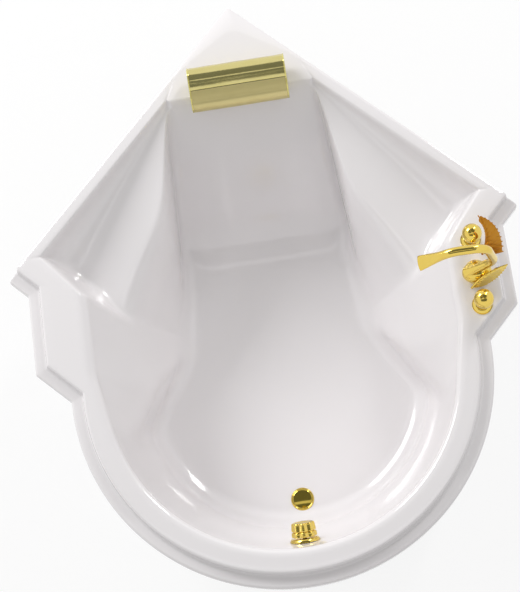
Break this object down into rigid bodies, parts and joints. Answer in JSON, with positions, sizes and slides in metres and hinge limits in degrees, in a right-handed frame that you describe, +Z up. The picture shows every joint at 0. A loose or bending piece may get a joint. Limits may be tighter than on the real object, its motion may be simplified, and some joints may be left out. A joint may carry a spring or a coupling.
{
  "type": "corner bathtub",
  "caption": "Corner bathtub with a stepped rim and round bow front, moulded backrest and armrests, gold swan spout with ball tap knobs, dial-worked waste and a gold headrest.",
  "frame": {"origin": "middle of the footprint, on the floor", "axes": "+X to the tap side, +Y towards the wall corner, +Z up"},
  "size_m": [1.4848, 1.7286, 0.8632],
  "materials": {
    "acrylic": "polished white sanitary acrylic on a glass-fibre backing",
    "gold": "polished gold plating",
    "plug_dark": "polished dark plating",
    "brass": "plain turned",
    "rubber": "matt black",
    "clear_rubber": "translucent suction rubber",
    "steel": "zinc plated",
    "wood": "resin-sealed board",
    "white_plastic": "plain moulded",
    "vinyl": "gold metallic vinyl, sewn"
  },
  "bodies": {
    "bath": {"bath_shell": "acrylic", "front_panel": "acrylic", "right_ear_board": "wood", "left_ear_board": "wood", "corner_board": "wood", "right_rim_batten": "wood", "left_rim_batten": "wood", "base_board": "wood", "panel_clips": "steel", "panel_screws": "steel", "rear_cradle_rail": "steel", "front_cradle_rail": "steel", "cradle_screws": "steel", "leg_studs": "steel", "leg_nuts": "steel", "centre_leg_plate": "steel", "foot_pads": "rubber", "spout_base": "gold", "spout_washer": "rubber", "spout_backnut": "brass", "spout_tee": "brass", "spout_body": "gold", "spout_neck": "gold", "spout_raised_wing": "gold", "spout_folded_wing": "gold", "waste_flange": "gold", "waste_gasket": "rubber", "waste_body": "white_plastic", "overflow_faceplate": "gold", "overflow_gasket": "rubber", "overflow_elbow": "white_plastic", "overflow_pipe": "white_plastic", "overflow_pipe_nuts": "white_plastic", "plug_control_cable": "rubber", "hot_valve": "brass", "hot_link_pipe": "brass", "hot_washer": "rubber", "hot_backnut": "brass", "hot_collar": "gold", "cold_valve": "brass", "cold_link_pipe": "brass", "cold_washer": "rubber", "cold_backnut": "brass", "cold_collar": "gold"},
    "hot_tap_knob": {"hot_knob": "gold", "hot_knob_cap": "gold", "hot_spindle": "brass"},
    "cold_tap_knob": {"cold_knob": "gold", "cold_knob_cap": "gold", "cold_spindle": "brass"},
    "overflow_control": {"overflow_knob": "gold", "overflow_spindle": "brass", "overflow_crank": "brass"},
    "waste_plug": {"waste_plug": "plug_dark", "waste_plug_seal": "rubber", "waste_plug_stem": "brass"},
    "headrest": {"headrest_cushion": "vinyl", "headrest_cups": "clear_rubber"}
  },
  "joints": [
    {"name": "hot_knob_turn", "type": "hinge", "parent": "bath", "child": "hot_tap_knob", "pos_m": [0.591, 0.03093, 0.645], "axis": [0, 0, 1], "range_deg": [0, 90]},
    {"name": "cold_knob_turn", "type": "hinge", "parent": "bath", "child": "cold_tap_knob", "pos_m": [0.591, -0.16107, 0.645], "axis": [0, 0, 1], "range_deg": [-90, 0]},
    {"name": "overflow_knob_turn", "type": "hinge", "parent": "bath", "child": "overflow_control", "pos_m": [0, -0.73189, 0.46], "axis": [0, 0.971, 0.2392], "range_deg": [0, 90]},
    {"name": "waste_plug_lift", "type": "slide", "parent": "bath", "child": "waste_plug", "axis": [0, 0, 1], "range_m": [0, 0.01]},
    {"name": "headrest_lift", "type": "slide", "parent": "bath", "child": "headrest", "axis": [0, 0, 1], "range_m": [0, 0.12]}
  ],
  "couplings": [
    {"joint": "waste_plug_lift", "follows": "overflow_knob_turn", "m_per_rad": 0.0063656}
  ]
}
